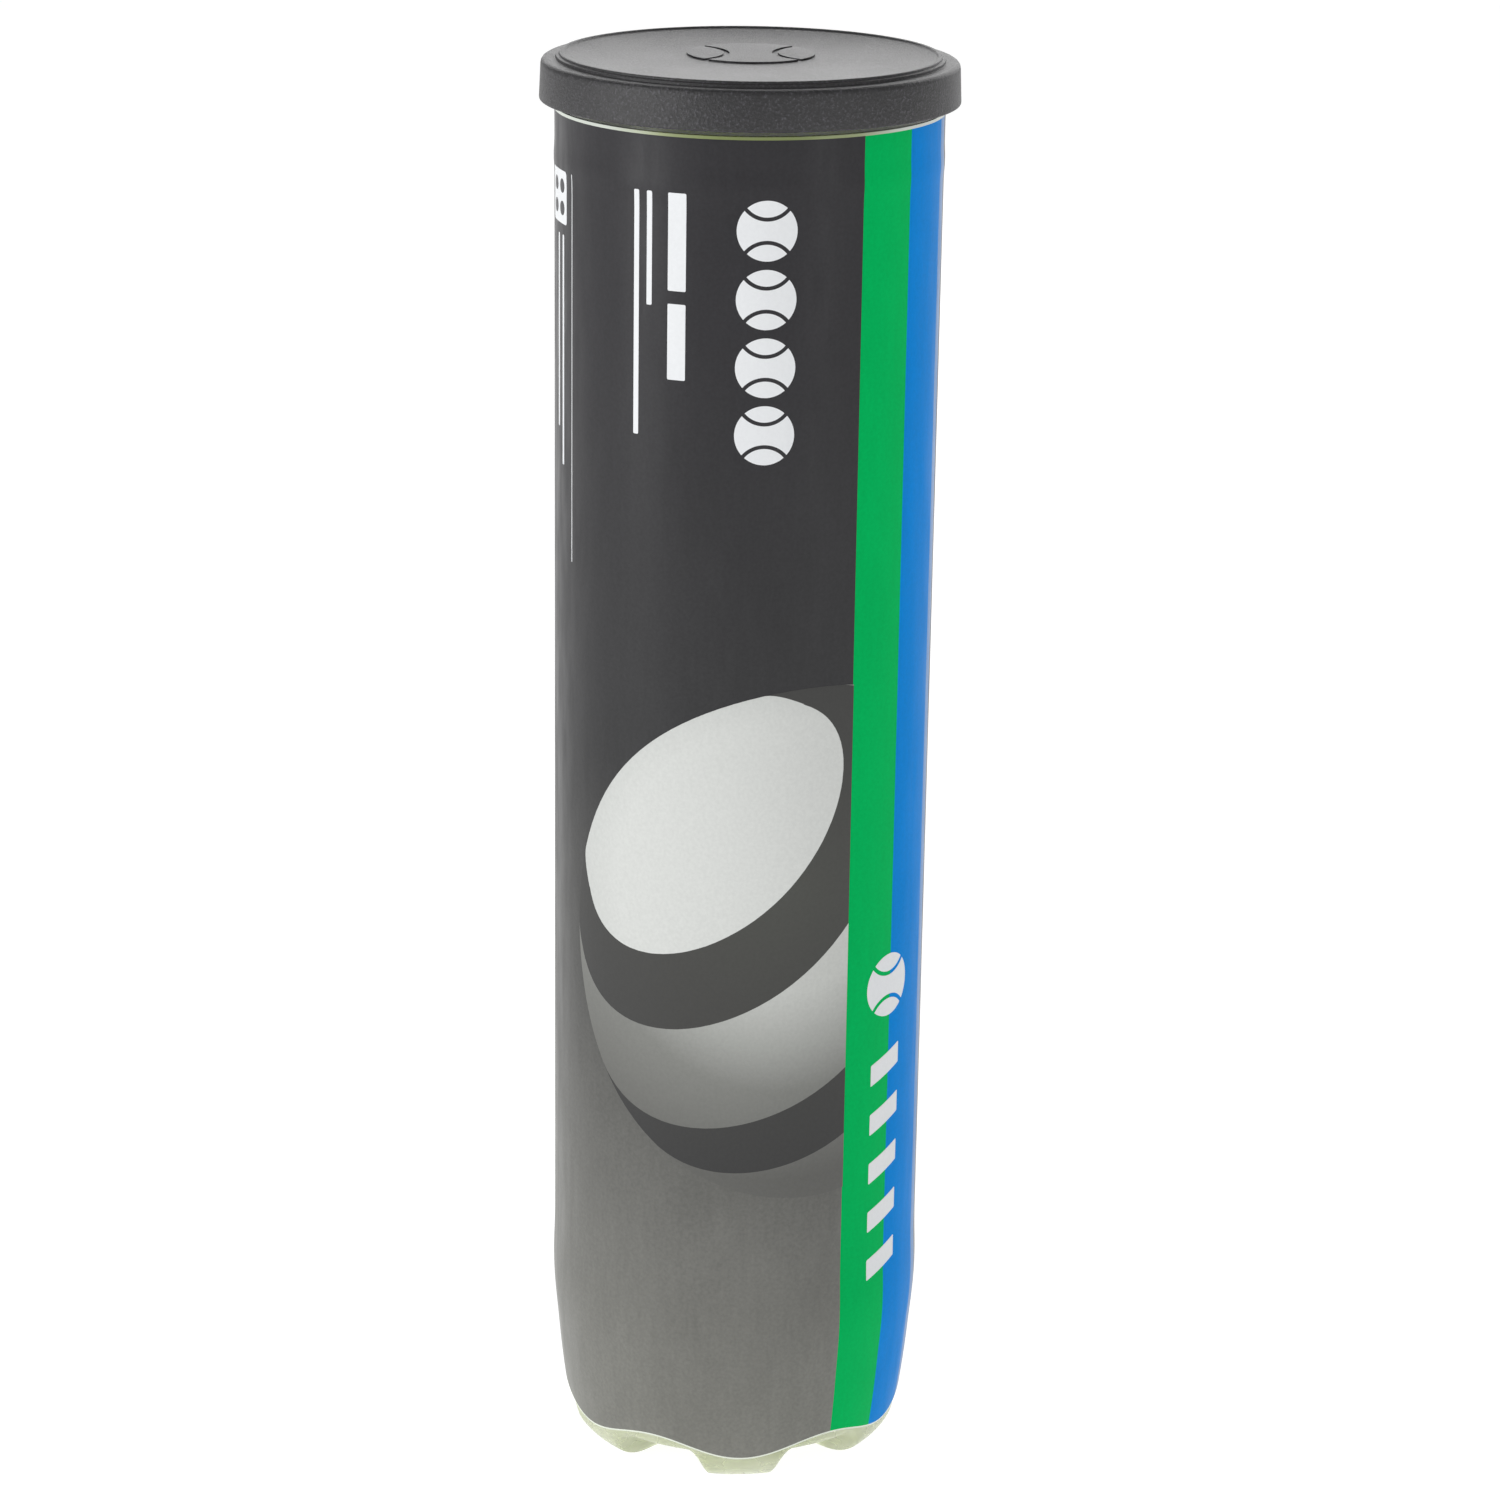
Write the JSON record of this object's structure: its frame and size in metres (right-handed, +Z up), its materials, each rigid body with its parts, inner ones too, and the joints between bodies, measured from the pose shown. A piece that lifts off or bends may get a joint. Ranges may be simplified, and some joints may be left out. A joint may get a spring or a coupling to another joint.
{
  "type": "tennis ball can",
  "caption": "Tall clear plastic can of tennis balls with petal feet, a printed shrink sleeve, a seamed tear-off metal end under a black push-on cap, and felt balls inside.",
  "frame": {"origin": "on the can's axis at the plane that its feet stand on", "axes": "+Z up along the can's axis, -Y towards the front of the printed sleeve and through the front foot, +X to the right of the front"},
  "size_m": [0.0792, 0.0792, 0.2815],
  "materials": {
    "clear_pet": "clear blow-moulded PET",
    "printed_sleeve": "satin printed shrink film, charcoal to grey with a green and a blue stripe",
    "end_aluminium": "bright rolled sheet with clear lacquer",
    "panel_aluminium": "rolled sheet with fine grain",
    "tab_aluminium": "curled sheet, bright",
    "gasket_compound": "cured sealing compound",
    "cap_plastic": "black satin polyethylene with fine grain",
    "core_rubber": "moulded natural rubber",
    "ball_felt": "napped wool and nylon felt, optic yellow",
    "seam_rubber": "vulcanised white seam"
  },
  "bodies": {
    "can": {"can_body": "clear_pet", "label_sleeve": "printed_sleeve", "end_ring": "end_aluminium", "seam_gasket": "gasket_compound"},
    "panel": {"tear_panel": "panel_aluminium", "tab_tongue": "tab_aluminium"},
    "tab": {"pull_tab": "tab_aluminium"},
    "cap": {"overcap": "cap_plastic"},
    "ball_1": {"ball_1_core_lower": "core_rubber", "ball_1_core_upper": "core_rubber", "ball_1_felt_a": "ball_felt", "ball_1_felt_b": "ball_felt", "ball_1_seam": "seam_rubber"},
    "ball_2": {"ball_2_core_lower": "core_rubber", "ball_2_core_upper": "core_rubber", "ball_2_felt_a": "ball_felt", "ball_2_felt_b": "ball_felt", "ball_2_seam": "seam_rubber"},
    "ball_3": {"ball_3_core_lower": "core_rubber", "ball_3_core_upper": "core_rubber", "ball_3_felt_a": "ball_felt", "ball_3_felt_b": "ball_felt", "ball_3_seam": "seam_rubber"},
    "ball_4": {"ball_4_core_lower": "core_rubber", "ball_4_core_upper": "core_rubber", "ball_4_felt_a": "ball_felt", "ball_4_felt_b": "ball_felt", "ball_4_seam": "seam_rubber"}
  },
  "joints": [
    {"name": "panel_lift", "type": "slide", "parent": "can", "child": "panel", "axis": [0, 0, 1], "range_m": [0, 0.36]},
    {"name": "cap_lift", "type": "slide", "parent": "panel", "child": "cap", "axis": [0, 0, 1], "range_m": [0, 0.06]},
    {"name": "tab_lift", "type": "hinge", "parent": "panel", "child": "tab", "pos_m": [0, -0.0287, 0.2762], "axis": [1, 0, 0], "range_deg": [0, 90]},
    {"name": "ball_1_lift", "type": "slide", "parent": "can", "child": "ball_1", "axis": [0, 0, 1], "range_m": [0, 0.285]},
    {"name": "ball_2_lift", "type": "slide", "parent": "can", "child": "ball_2", "axis": [0, 0, 1], "range_m": [0, 0.303]},
    {"name": "ball_3_lift", "type": "slide", "parent": "can", "child": "ball_3", "axis": [0, 0, 1], "range_m": [0, 0.321]},
    {"name": "ball_4_lift", "type": "slide", "parent": "can", "child": "ball_4", "axis": [0, 0, 1], "range_m": [0, 0.339]}
  ],
  "couplings": [
    {"joint": "tab_lift", "follows": "cap_lift", "rad_per_m": 26},
    {"joint": "ball_1_lift", "follows": "panel_lift", "ratio": 0.79},
    {"joint": "ball_2_lift", "follows": "panel_lift", "ratio": 0.84},
    {"joint": "ball_3_lift", "follows": "panel_lift", "ratio": 0.89},
    {"joint": "ball_4_lift", "follows": "panel_lift", "ratio": 0.94}
  ]
}
